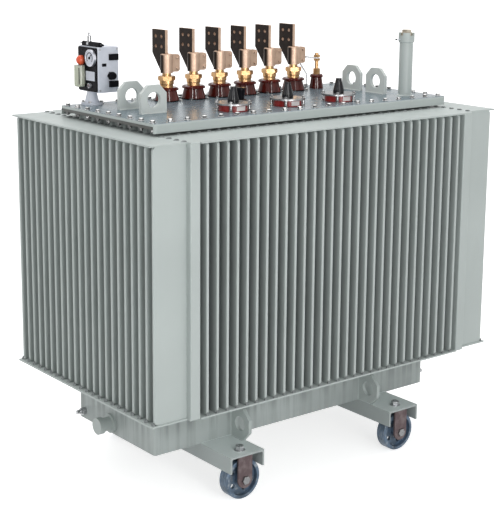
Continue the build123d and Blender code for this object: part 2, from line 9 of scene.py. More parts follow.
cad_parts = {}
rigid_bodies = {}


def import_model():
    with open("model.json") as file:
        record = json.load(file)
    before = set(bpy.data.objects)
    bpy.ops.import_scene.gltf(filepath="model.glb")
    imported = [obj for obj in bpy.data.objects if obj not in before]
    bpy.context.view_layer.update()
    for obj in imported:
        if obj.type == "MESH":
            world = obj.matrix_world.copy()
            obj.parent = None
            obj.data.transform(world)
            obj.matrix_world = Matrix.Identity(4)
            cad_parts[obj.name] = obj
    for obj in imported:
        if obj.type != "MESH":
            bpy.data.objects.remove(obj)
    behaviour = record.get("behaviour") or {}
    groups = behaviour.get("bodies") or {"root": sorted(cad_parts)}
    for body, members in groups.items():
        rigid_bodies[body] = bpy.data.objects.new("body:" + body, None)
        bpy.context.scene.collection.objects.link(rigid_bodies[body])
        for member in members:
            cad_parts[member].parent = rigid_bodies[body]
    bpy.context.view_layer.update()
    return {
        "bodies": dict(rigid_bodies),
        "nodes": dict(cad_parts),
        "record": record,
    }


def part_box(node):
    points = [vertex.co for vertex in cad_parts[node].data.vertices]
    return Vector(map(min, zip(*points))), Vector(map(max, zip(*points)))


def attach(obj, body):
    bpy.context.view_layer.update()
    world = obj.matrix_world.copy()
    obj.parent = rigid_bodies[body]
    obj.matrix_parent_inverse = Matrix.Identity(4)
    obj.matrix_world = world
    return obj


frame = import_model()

# Looks for the power transformer, with its small fasteners, welds and fittings, in metres

record = frame["record"]
tank = "transformer"

# View: camera place, aim in degrees, focal length and rise of the optical axis in picture points
picture_height = 514
camera_place = Vector((-3.323, -4.166, 2.1155))
camera_yaw = 38.18
camera_pitch = -11.68
camera_roll = 0.47
camera_focus = 1326.0
camera_rise = 50.0
sensor_width = 36.0

# Light: even surroundings, a wide lamp, three suns, and two tall strips that show only as reflections
world_strength = 0.42
key_power = 44
key_size = 1.4
key_place = Vector((-1.2, -3.8, 1.7))
key_aim = Vector((-0.4, -0.5, 0.9))
front_strength = 0.27
front_angle = 40
front_from = Vector((0.1, -0.85, 0.6))
top_strength = 1.9
top_angle = 70
top_from = Vector((0.1, 0.3, 1.0))
left_strength = 0.45
left_angle = 40
left_from = Vector((-1.0, 0.25, 0.35))
strip_power = 90
strip_width = 0.4
strip_height = 2.2
strip_places = (Vector((-3.5, -3.1, 2.2)), Vector((-1.0, -4.5, 2.2)))
strip_aim = Vector((0, 0, 1.5))
floor_reach = 60.0
floor_colour = (0.7, 0.7, 0.7, 1)
floor_lift = 0.68

# Colours of paint and other finishes, linear
enamel_colour = (0.46, 0.508, 0.495, 1)
enamel_shade = (0.425, 0.47, 0.458, 1)
enamel_dust = (0.5, 0.54, 0.525, 1)
# Painted light: the lifting lugs, in the lid_enamel slot, get an enamel lighter than the tank's
lug_painted_light_colour = (0.64, 0.68, 0.66, 1)
lug_painted_light_shade = (0.6, 0.64, 0.62, 1)
gap_painted_shade_colour = (0.045, 0.056, 0.058, 1)
channel_colour = (0.42, 0.463, 0.458, 1)
channel_shade = (0.38, 0.42, 0.415, 1)
# Painted light: the channels' level tops take a much lighter enamel than their sides
channel_top_painted_light = (0.66, 0.72, 0.71, 1)
channel_top_painted_light_shade = (0.61, 0.67, 0.66, 1)
# Painted reflection: the lid's level top is darker and bluer than its enamel, for the bluish reflection on
# it
cover_painted_reflection_colour = (0.155, 0.205, 0.235, 1)
cover_painted_reflection_shade = (0.13, 0.175, 0.2, 1)
# Painted shade: the tank rim under the lid, much darker than the tank's enamel
rim_painted_shade_colour = (0.16, 0.16, 0.155, 1)
rim_painted_shade_dark = (0.11, 0.11, 0.105, 1)
skirt_colour = (0.47, 0.52, 0.508, 1)
# Painted shade: the skirt's dark second tone, for its dark streaks under the fins
skirt_tone_and_painted_shade = (0.11, 0.123, 0.121, 1)
# Painted shade: the dark enamel of the half-round pads at the fins' roots and feet
seam_painted_shade_colour = (0.2, 0.22, 0.22, 1)
seam_painted_shade_dark = (0.14, 0.155, 0.155, 1)
brass_colour = (0.45, 0.28, 0.14, 1)
brass_shade = (0.33, 0.195, 0.09, 1)
zinc_colour = (0.5, 0.505, 0.51, 1)
zinc_shade = (0.38, 0.39, 0.405, 1)
# Painted shade: a darker copy of the zinc, for the dark reflections on the parts given it below
zinc_painted_shade_colour = (0.27, 0.272, 0.275, 1)
zinc_painted_shade_tone = (0.2, 0.203, 0.21, 1)
plug_colour = (0.48, 0.44, 0.37, 1)
plug_shade = (0.38, 0.34, 0.28, 1)
red_colour = (0.33, 0.02, 0.018, 1)
red_shade = (0.25, 0.013, 0.012, 1)
black_colour = (0.006, 0.006, 0.008, 1)
black_shade = (0.011, 0.011, 0.014, 1)
white_colour = (0.68, 0.71, 0.78, 1)
white_shade = (0.62, 0.65, 0.72, 1)
pale_colour = (0.86, 0.8, 0.78, 1)
pale_shade = (0.8, 0.73, 0.71, 1)
orange_colour = (0.82, 0.14, 0.06, 1)
orange_shade = (0.7, 0.085, 0.035, 1)
glaze_colour = (0.125, 0.016, 0.011, 1)
glaze_shade = (0.06, 0.008, 0.006, 1)
bronze_colour = (0.56, 0.4, 0.3, 1)
bronze_shade = (0.46, 0.32, 0.235, 1)
# Painted reflection: the nearly black flat faces of the bronze palms
palm_painted_reflection_colour = (0.012, 0.007, 0.005, 1)
palm_painted_reflection_shade = (0.024, 0.0145, 0.0105, 1)
# Painted light and shade on the bolts: a light colour for faces turned up, dark colours for the sides
bolt_painted_light_colour = (0.8, 0.8, 0.79, 1)
bolt_painted_shade_side = (0.2, 0.2, 0.2, 1)
bolt_oily_painted_shade = (0.1, 0.1, 0.1, 1)
glass_colour = (0.72, 0.75, 0.63, 1)
glass_shade = (0.64, 0.67, 0.55, 1)
dial_colour = (0.66, 0.67, 0.71, 1)
dial_shade = (0.5, 0.51, 0.56, 1)
primer_colour = (0.1, 0.066, 0.07, 1)
primer_rub = (0.17, 0.13, 0.13, 1)
steel_colour = (0.098, 0.15, 0.22, 1)
steel_dirt = (0.055, 0.08, 0.11, 1)
steel_scuff = (0.24, 0.27, 0.3, 1)
background_colour = (1, 1, 1, 1)

# Painted shade in the gaps of the folded walls: shares of darkness, and lengths in from the fins' tips and
# outer faces
side_gap_painted_shade_share = 0.85
end_gap_painted_shade_share = 0.45
gap_lip = 0.006
gap_edge = 0.004
side_gap_depth = 0.06
end_gap_depth = 0.075

# Runs in the paint, and the painted shade streaks under the fins on the skirt: low and high of their noise
# and their strength, and how the streaks fade down the skirt
faint_runs = (0.5, 0.78, 0.22)
# The strong runs on the skirt are painted shade streaks
skirt_painted_shade_streaks = (0.44, 0.6, 1.0)
shade_fade_length = 0.16
shade_fade_low_share = 0.2
shade_fade_cloud_share = 0.4

# Roughness of the finishes, at the low and the high end of their grain
enamel_rough = (0.34, 0.46)
channel_rough = (0.38, 0.52)
cover_rough = (0.2, 0.28)
dull_rough = (0.4, 0.5)
glaze_rough = (0.04, 0.08)
brass_rough = (0.26, 0.4)
plug_rough = (0.3, 0.45)
bronze_rough = (0.36, 0.5)
zinc_rough = (0.24, 0.4)
bolt_rough = (0.25, 0.4)
red_rough = (0.24, 0.36)
black_rough = (0.2, 0.3)
cone_rough = (0.12, 0.2)
white_rough = (0.3, 0.42)
orange_rough = (0.22, 0.34)
glass_rough = (0.12, 0.2)
dial_rough = (0.25, 0.42)
primer_rough = (0.72, 0.5)
steel_rough = (0.36, 0.6)

# Patches: the low and high of the noise, or of the surface's direction, between which they come in
noise_middle = (0.3, 0.7)
level_range = (0.6, 1.0)
dust_range = (0.42, 0.68)
dust_share = 0.4
glaze_run_range = (0.35, 0.7)
stain_range = (0.38, 0.66)
flat_range = (0.8, 0.97)
tarnish_range = (0.35, 0.7)
painted_light_up_range = (0.35, 0.85)
oil_range = (0.35, 0.7)
mould_cloud_range = (0.35, 0.68)
rub_range = (0.45, 0.66)
dirt_range = (0.42, 0.7)
scuff_range = (0.54, 0.68)

# Grain of the finishes: waves to the metre, by axis where the grain is drawn out, and depths of the bumps
cloud_scale = 2.6
dust_scale = 9.0
run_scales = (38, 38, 2.2)
sheen_scale = 14.0
peel_scale = 210.0
peel_depth = 0.0004
glaze_run_scales = (60, 60, 22)
glaze_sheen_scale = 40.0
glaze_ripple_scale = 55.0
glaze_ripple_depth = 0.0008
tool_ring_scales = (30, 30, 2600)
tool_ring_depth = 0.0003
stain_scale = 45.0
sand_scale = 320.0
sand_depth = 0.0005
tarnish_scale = 38.0
spangle_scale = 260.0
plating_scale = 400.0
plating_depth = 0.0003
oil_scale = 300.0
bolt_skin_scale = 500.0
bolt_skin_depth = 0.0002
mould_cloud_scale = 28.0
mould_sheen_scale = 60.0
mould_depth = 0.0003
red_grain_scale = 300.0
black_grain_scale = 420.0
white_grain_scale = 260.0
orange_grain_scale = 200.0
drawing_scales = (500, 500, 14)
drawing_depth = 0.0002
brush_scales = (300, 60, 1400)
brush_depth = 0.0002
rub_scale = 34.0
primer_scale = 160.0
primer_depth = 0.0006
dirt_scale = 24.0
scuff_scales = (45, 240, 45)
cast_scale = 190.0
cast_depth = 0.0007

# Fasteners
bolt_flat = 0.0105
bolt_head = 0.01
bolt_washer_radius = 0.0135
bolt_washer = 0.0022
bolt_shank = 0.006
bolt_edge = 0.0012
bolt_tail = 0.005
nut_height = 0.0095
lid_bolt_scale = 0.85
clamp_bolt_scale = 0.5
channel_bolt_scale = 1.6
stud_nut_scale = 0.62
foot_bolt_scale = 0.6
strap_bolt_scale = 0.7
pedestal_bolt_scale = 0.5
screw_radius = 0.0042
screw_height = 0.0024
screw_slot = 0.0009
sharp_angle = 35

# Lid bolts: how far the rows stand in from the lid's edges, and how many there are
lid_bolt_side_inset = 0.032
lid_bolt_end_inset = 0.016
lid_bolts_long = 20
lid_bolts_short = 9

# Weld beads, and the half-round pads of the folded walls, whose dark enamel is painted shade
weld_radius = 0.0032
weld_step = 0.0045
weld_ripple_share = 0.16
weld_wobble_share = 0.08
weld_end_share = 0.45
pad_crown_share = 0.6
scallop_width = 0.019
scallop_reach = 0.02
scallop_height = 0.0045
scallop_tuck = 0.006
fin_pitch = 0.045
tip_reach = 0.0005
cover_thickness = 0.006
foot_width = 0.017
foot_height = 0.011
front_foot_reach = 0.0038
end_foot_reach = 0.009

# Low-voltage row: terminal clamps and their bolts, the neutral strap, and the bushings' feet
lv_count = 6
ear_half_thickness = 0.010
ear_bolt_inset = 0.013
ear_bolt_rise = 0.022
barrel_height = 0.076
strap_turn = 139
strap_thickness = 0.005
strap_bolt_reach = 0.065
foot_bolt_circle = 0.058
foot_ring_radius = 0.0515
foot_ring_height = 0.003

# High-voltage rings: the blank patch on each, in degrees round the ring, and the stud nuts
hv_count = 3
hv_clamp = 0.006
hv_stud_circle = 0.062
patch_from = 247
patch_to = 288
patch_margin = 0.004
patch_thickness = 0.0007

# Protection relay
relay_screw_inset = 0.009
plate_width = 0.064
plate_height = 0.036
plate_shift = 0.022
plate_rise = 0.06
plate_thickness = 0.0012
plate_corner = 0.002
window_width = 0.02
window_height = 0.012
window_corner = 0.0015
window_in_share = 0.3
window_up_share = 0.61
dial_radius = 0.033
dial_bezel = 0.004
dial_teeth = 24
dial_tooth_share = 0.8
dial_face_radius = 0.026
dial_face = 0.0008
scale_radius = 0.019
scale_width = 0.003
scale_from = -40
scale_to = 220
pointer_turn = 50
pointer_length = 0.017
pointer_width = 0.0026
setting_radius = 0.009
setting_inset = 0.045
setting_cap_radius = 0.007
setting_cap = 0.002
line_from = 226
line_to = 235
line_thickness = 0.0004
line_margin = 0.009
tube_radius = 0.0026
tube_length = 0.03
tap_stem_radius = 0.002
tap_stem_length = 0.012
tap_knob_radius = 0.0045
tap_knob_length = 0.007
tap_band_radius = 0.0104
tap_band_width = 0.013
pedestal_bolt_circle = 0.0355
pedestal_flange = 0.009

# Machined hub faces of the rollers
hub_cap_radius = 0.0225
hub_cap = 0.0016

# Lifting lugs and haulage eyes, as the solids have them
lug_width = 0.114
lug_thickness = 0.015
eye_thickness = 0.015
eye_foot = 0.074

# Filling pipe and its pin
collar_radius = 0.0335
filler_pin_radius = 0.0013
filler_pin_length = 0.022
filler_pin_tip_radius = 0.0034
filler_pin_tip = 0.006
filler_pin_drop = 0.027

random.seed(7)


class Paint:
    """A short way to build one procedural material."""

    def __init__(self, name):
        self.material = bpy.data.materials.new(name)
        self.material.use_nodes = True
        self.tree = self.material.node_tree
        self.shader = self.tree.nodes["Principled BSDF"]
        self.place = self.add("ShaderNodeTexCoord").outputs["Object"]

    def add(self, kind, inputs=None, **settings):
        """A new node with its settings made and its inputs fed."""
        node = self.tree.nodes.new(kind)
        for key, value in settings.items():
            setattr(node, key, value)
        for key, value in (inputs or {}).items():
            self.feed(node.inputs[key], value)
        return node

    def feed(self, socket, value):
        """Link a socket to another one, or give it a plain value."""
        if isinstance(value, bpy.types.NodeSocket):
            self.tree.links.new(value, socket)
        else:
            socket.default_value = value

    def set(self, **values):
        """Values of the shader's own sockets, with underscores for spaces."""
        for key, value in values.items():
            self.feed(self.shader.inputs[key.replace("_", " ")], value)

    def noise(self, scale, detail=3.0, where=None):
        """A cloudy noise over the object's own coordinates, or over others."""
        inputs = {"Vector": where or self.place, "Scale": scale, "Detail": detail}
        return self.add("ShaderNodeTexNoise", inputs).outputs["Fac"]

    def drawn_noise(self, scales, detail):
        """A noise that is drawn out, with a scale for each axis."""
        drawn = self.add("ShaderNodeMapping", {"Vector": self.place, "Scale": scales}).outputs["Vector"]
        return self.noise(1.0, detail, drawn)

    def ranged(self, value, low, high, to_low=0.0, to_high=1.0):
        """A value moved from one range to another, and held at its ends."""
        inputs = {
            "Value": value, "From Min": low, "From Max": high, "To Min": to_low, "To Max": to_high}
        return self.add("ShaderNodeMapRange", inputs).outputs["Result"]

    def spread(self, noise, low, high):
        """The middle range of a noise, spread from low to high."""
        return self.ranged(noise, *noise_middle, low, high)

    def mixed(self, share, first, second):
        """Two colours mixed by a share; the node's sockets for colours are numbers 6 and 7, and 2."""
        node = self.add("ShaderNodeMix", data_type="RGBA")
        self.feed(node.inputs["Factor"], share)
        self.feed(node.inputs[6], first)
        self.feed(node.inputs[7], second)
        return node.outputs[2]

    def place_parts(self):
        """The three parts of the object's own coordinates."""
        return self.add("ShaderNodeSeparateXYZ", {"Vector": self.place}).outputs

    def normal_part(self, axis):
        """One part of the surface's direction."""
        normal = self.add("ShaderNodeTexCoord").outputs["Normal"]
        return self.add("ShaderNodeSeparateXYZ", {"Vector": normal}).outputs[axis]

    def size_of(self, value):
        """A value without its sign."""
        return self.add("ShaderNodeMath", {0: value}, operation="ABSOLUTE").outputs[0]

    def product(self, first, second):
        """Two values multiplied."""
        return self.add("ShaderNodeMath", {0: first, 1: second}, operation="MULTIPLY").outputs[0]

    def bump(self, height, strength, distance):
        """A fine relief on the surface."""
        inputs = {"Height": height, "Strength": strength, "Distance": distance}
        self.set(Normal=self.add("ShaderNodeBump", inputs).outputs["Normal"])


def runs_and_painted_shade_streaks(paint, runs, shade_fade):
    """Upright runs from the low and high of their noise and their strength; with a fade, painted shade
    fading down.
    """
    low, high, share = runs
    streaks = paint.ranged(paint.drawn_noise(run_scales, detail=5.0), low, high, 0.0, share)
    if not shade_fade:
        return streaks
    height = paint.place_parts()["Z"]
    return paint.product(streaks, paint.ranged(height, *shade_fade, shade_fade_low_share, 1.0))


def painted_gap_shade(paint, axis, root, tip, share, across, half):
    """Painted shade in a folded wall's gaps, from root to tip, with none on the wall's two outer faces."""
    parts = paint.place_parts()
    depth = paint.ranged(paint.size_of(parts[axis]), root, tip, share, 0.0)
    inside = paint.ranged(paint.size_of(parts[across]), half - gap_edge, half - gap_edge / 2, 1.0, 0.0)
    return paint.product(depth, inside)


def enamel(
        name, colour, shade, rough,
        gap=None, top=None, shade_fade=None, runs=faint_runs, shine=0.25, peel=0.22):
    """Sprayed enamel: cloudy tone, faint runs, a little dust on level faces, and a fine orange peel.

    A gap holds the arguments of the painted shade in a folded wall's gaps, a top is the two colours of
    level faces, which paint light on the channels' tops and a bluish reflection on the lid's top, and a
    fade gives the heights at which the skirt's painted shade streaks have faded and are full.
    """
    paint = Paint(name)
    cloud = paint.spread(paint.noise(cloud_scale, detail=4.0), 0.0, 1.0)
    tone = paint.mixed(paint.product(cloud, shade_fade_cloud_share) if shade_fade else cloud, colour, shade)
    level = paint.ranged(paint.normal_part("Z"), *level_range)
    specks = paint.ranged(paint.noise(dust_scale, detail=6.0), *dust_range, 0.0, dust_share)
    dust = paint.product(level, specks)
    # On the skirt these streaks are painted shade under the fins
    streaked = paint.mixed(runs_and_painted_shade_streaks(paint, runs, shade_fade), tone, shade)
    finish = paint.mixed(dust, streaked, enamel_dust)
    # Level faces take the top colours: painted light on the channels, a painted bluish reflection on the
    # lid
    if top:
        finish = paint.mixed(level, finish, paint.mixed(cloud, *top))
    # Painted shade: darker towards the root of each gap, where the fins shade each other
    if gap:
        finish = paint.mixed(painted_gap_shade(paint, *gap), finish, gap_painted_shade_colour)
    paint.set(Base_Color=finish)
    paint.set(Roughness=paint.spread(paint.noise(sheen_scale, detail=4.0), *rough))
    paint.set(Specular_IOR_Level=shine, IOR=1.5)
    paint.bump(paint.noise(peel_scale, detail=2.0), strength=peel, distance=peel_depth)
    return paint.material


def glaze():
    """Brown glazed porcelain, with darker runs in the glaze."""
    paint = Paint("porcelain_glaze")
    run = paint.ranged(paint.drawn_noise(glaze_run_scales, detail=3.0), *glaze_run_range)
    paint.set(Base_Color=paint.mixed(run, glaze_colour, glaze_shade))
    paint.set(Roughness=paint.spread(paint.noise(glaze_sheen_scale), *glaze_rough))
    paint.set(Specular_IOR_Level=0.25, IOR=1.5)
    paint.bump(paint.noise(glaze_ripple_scale, detail=2.0), strength=0.06, distance=glaze_ripple_depth)
    return paint.material


def turned_metal(name, colour, shade, rough):
    """Machined metal with fine tool rings round the upright axis."""
    paint = Paint(name)
    rings = paint.drawn_noise(tool_ring_scales, detail=2.0)
    stain = paint.ranged(paint.noise(stain_scale, detail=5.0), *stain_range)
    paint.set(Base_Color=paint.mixed(stain, colour, shade))
    paint.set(Metallic=1.0)
    paint.set(Roughness=paint.spread(rings, *rough))
    paint.bump(rings, strength=0.15, distance=tool_ring_depth)
    return paint.material


def cast_bronze():
    """Cast bronze clamp: pale and grainy, in tarnished patches, with a dark reflection painted nearly black
    on the flat palm faces.
    """
    paint = Paint("cast_bronze")
    # Faces turned along X, the palms' flats, take the painted dark reflection
    flat = paint.ranged(paint.size_of(paint.normal_part("X")), *flat_range)
    grain = paint.noise(sand_scale, detail=4.0)
    patch = paint.ranged(paint.noise(tarnish_scale, detail=5.0), *tarnish_range)
    pale = paint.mixed(patch, bronze_colour, bronze_shade)
    dark = paint.mixed(patch, palm_painted_reflection_colour, palm_painted_reflection_shade)
    paint.set(Base_Color=paint.mixed(flat, pale, dark))
    paint.set(Metallic=paint.ranged(flat, 0.0, 1.0, 0.5, 0.1))
    paint.set(Specular_IOR_Level=0.1)
    paint.set(Roughness=paint.spread(grain, *bronze_rough))
    paint.bump(grain, strength=0.2, distance=sand_depth)
    return paint.material


def zinc_plate(name, colour, shade):
    """Zinc plating with its cloudy bluish spangle."""
    paint = Paint(name)
    cells = paint.add("ShaderNodeTexVoronoi", {"Vector": paint.place, "Scale": spangle_scale})
    spangle = paint.add("ShaderNodeSeparateXYZ", {"Vector": cells.outputs["Color"]}).outputs["X"]
    paint.set(Base_Color=paint.mixed(spangle, colour, shade))
    paint.set(Metallic=1.0)
    paint.set(Roughness=paint.ranged(spangle, 0.0, 1.0, *zinc_rough))
    paint.bump(paint.noise(plating_scale), strength=0.08, distance=plating_depth)
    return paint.material


def bolt_zinc():
    """Plated fasteners with painted light on faces turned up and painted shade round the sides, darker in
    oily patches.
    """
    paint = Paint("bolt_zinc")
    up = paint.ranged(paint.normal_part("Z"), *painted_light_up_range)
    oil = paint.ranged(paint.noise(oil_scale, detail=4.0), *oil_range)
    side = paint.mixed(oil, bolt_painted_shade_side, bolt_oily_painted_shade)
    # Painted light on the faces turned up, painted shade round the sides
    paint.set(Base_Color=paint.mixed(up, side, bolt_painted_light_colour))
    paint.set(Metallic=1.0)
    paint.set(Roughness=paint.ranged(oil, 0.0, 1.0, *bolt_rough))
    paint.bump(paint.noise(bolt_skin_scale), strength=0.08, distance=bolt_skin_depth)
    return paint.material


def moulded(name, colour, shade, rough, grain_scale, grain_strength=0.1, shine=0.3):
    """Moulded resin with a fine mould grain and a slightly uneven tone."""
    paint = Paint(name)
    cloud = paint.ranged(paint.noise(mould_cloud_scale, detail=4.0), *mould_cloud_range)
    paint.set(Base_Color=paint.mixed(cloud, colour, shade))
    paint.set(Roughness=paint.spread(paint.noise(mould_sheen_scale), *rough))
    paint.set(Specular_IOR_Level=shine)
    paint.bump(paint.noise(grain_scale, detail=2.0), strength=grain_strength, distance=mould_depth)
    return paint.material


def clear_resin():
    """The level glass: cloudy, faintly green, with soft drawing lines."""
    paint = Paint("clear_resin")
    lines = paint.drawn_noise(drawing_scales, detail=2.0)
    paint.set(Base_Color=paint.mixed(lines, glass_colour, glass_shade))
    paint.set(Roughness=paint.spread(lines, *glass_rough))
    paint.set(Transmission_Weight=0.45, IOR=1.45)
    paint.bump(lines, strength=0.04, distance=drawing_depth)
    return paint.material


def spun_metal():
    """Dial metal with a fine brushed line."""
    paint = Paint("spun_metal")
    lines = paint.drawn_noise(brush_scales, detail=3.0)
    paint.set(Base_Color=paint.mixed(lines, dial_colour, dial_shade))
    paint.set(Metallic=0.9)
    paint.set(Roughness=paint.spread(lines, *dial_rough))
    paint.bump(lines, strength=0.1, distance=brush_depth)
    return paint.material


def primer():
    """Brown primer on the roller forks: matt, with rubbed patches."""
    paint = Paint("brown_primer")
    rub = paint.ranged(paint.noise(rub_scale, detail=6.0), *rub_range)
    paint.set(Base_Color=paint.mixed(rub, primer_colour, primer_rub))
    paint.set(Roughness=paint.ranged(rub, 0.0, 1.0, *primer_rough))
    paint.bump(paint.noise(primer_scale, detail=4.0), strength=0.25, distance=primer_depth)
    return paint.material


def cast_steel():
    """Cast roller: blue-grey skin with sand grain, patches of dirt and bare scuffs."""
    paint = Paint("cast_steel")
    dirt = paint.ranged(paint.noise(dirt_scale, detail=6.0), *dirt_range)
    scuff = paint.ranged(paint.drawn_noise(scuff_scales, detail=6.0), *scuff_range)
    skin = paint.mixed(dirt, steel_colour, steel_dirt)
    paint.set(Base_Color=paint.mixed(scuff, skin, steel_scuff))
    paint.set(Metallic=paint.ranged(scuff, 0.0, 1.0, 0.25, 0.85))
    paint.set(Roughness=paint.ranged(dirt, 0.0, 1.0, *steel_rough))
    paint.bump(paint.noise(cast_scale, detail=4.0), strength=0.35, distance=cast_depth)
    return paint.material


finishes = {
    "tank_enamel": enamel("tank_enamel", enamel_colour, enamel_shade, enamel_rough),
    # Lighter enamel for the lugs: painted light
    "lid_enamel": enamel("lid_enamel", lug_painted_light_colour, lug_painted_light_shade, enamel_rough),
    # The channels' level tops carry painted light
    "channel_enamel": enamel(
        "channel_enamel", channel_colour, channel_shade, channel_rough,
        top=(channel_top_painted_light, channel_top_painted_light_shade)),
    "porcelain": glaze(),
    "brass": turned_metal("brass", brass_colour, brass_shade, brass_rough),
    "bronze": cast_bronze(),
    "zinc": zinc_plate("zinc", zinc_colour, zinc_shade),
    "red_resin": moulded("red_resin", red_colour, red_shade, red_rough, red_grain_scale),
    "black_resin": moulded(
        "black_resin", black_colour, black_shade, black_rough, black_grain_scale, shine=0.04),
    "white_resin": moulded(
        "white_resin", white_colour, white_shade, white_rough, white_grain_scale, grain_strength=0.12),
    "pale_resin": moulded(
        "pale_resin", pale_colour, pale_shade, dull_rough, white_grain_scale, grain_strength=0.12),
    "clear_resin": clear_resin(),
    "orange_resin": moulded(
        "orange_resin", orange_colour, orange_shade, orange_rough, orange_grain_scale),
    "dial_metal": spun_metal(),
    "red_primer": primer(),
    "cast_steel": cast_steel(),
    "bolt_zinc": bolt_zinc(),
    # Dark enamel of the half-round pads: painted shade
    "seam_painted_shade_enamel": enamel("seam_painted_shade_enamel", seam_painted_shade_colour, seam_painted_shade_dark, dull_rough),
}

body_low, body_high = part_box("tank_body")
side_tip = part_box("rear_fin_wall")[1]
end_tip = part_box("right_fin_wall")[1]
side_root = side_tip.y - side_gap_depth
end_root = end_tip.x - end_gap_depth
# Where the painted shade lies in the gaps of the side and end walls
side_gap = ("Y", side_root, side_tip.y - gap_lip, side_gap_painted_shade_share, "X", side_tip.x + gap_edge)
end_gap = ("X", end_root, end_tip.x - gap_lip, end_gap_painted_shade_share, "Y", end_tip.y)
side_fins_painted_shade_enamel = enamel("side_fin_painted_shade_enamel", enamel_colour, enamel_shade, enamel_rough, gap=side_gap)
end_fins_painted_shade_enamel = enamel("end_fin_painted_shade_enamel", enamel_colour, enamel_shade, enamel_rough, gap=end_gap)
cover_painted_reflection_top = (cover_painted_reflection_colour, cover_painted_reflection_shade)
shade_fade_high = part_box("front_fin_plates")[0].z
shade_fade_low = shade_fade_high - shade_fade_length
# The tin finish is the zinc darkened with painted shade
tin = zinc_plate("tin", zinc_painted_shade_colour, zinc_painted_shade_tone)
node_finishes = {
    "neutral_strap": tin,
    "relay_petcock": tin,
    "hv_clamps": tin,
    "wheel_axles": tin,
    "front_fin_wall": side_fins_painted_shade_enamel,
    "rear_fin_wall": side_fins_painted_shade_enamel,
    "left_fin_wall": end_fins_painted_shade_enamel,
    "right_fin_wall": end_fins_painted_shade_enamel,
    # The lid's top carries the painted bluish reflection
    "lid": enamel(
        "cover_enamel", enamel_colour, enamel_shade, cover_rough, top=cover_painted_reflection_top, shine=0.35, peel=0.04),
    "filler_pipe": finishes["tank_enamel"],
    "haulage_eyes": finishes["tank_enamel"],
    "hv_cones": moulded(
        "cone_resin", black_colour, black_shade, cone_rough, black_grain_scale,
        grain_strength=0.06, shine=0.2),
    "filler_cap": turned_metal("plug_bronze", plug_colour, plug_shade, plug_rough),
    # The rim's dark enamel is painted shade
    "tank_rim": enamel("rim_painted_shade_enamel", rim_painted_shade_colour, rim_painted_shade_dark, dull_rough),
    # The skirt's dark streaks are painted shade, strongest just under the fins and fading down
    "tank_body": enamel(
        "skirt_painted_shade_enamel", skirt_colour, skirt_tone_and_painted_shade, enamel_rough,
        shade_fade=(shade_fade_low, shade_fade_high), runs=skirt_painted_shade_streaks),
}

for part in record["subparts"]:
    shape = frame["nodes"][part["node"]]
    shape.data.materials.clear()
    shape.data.materials.append(node_finishes.get(part["node"], finishes[part["material_slot"]]))


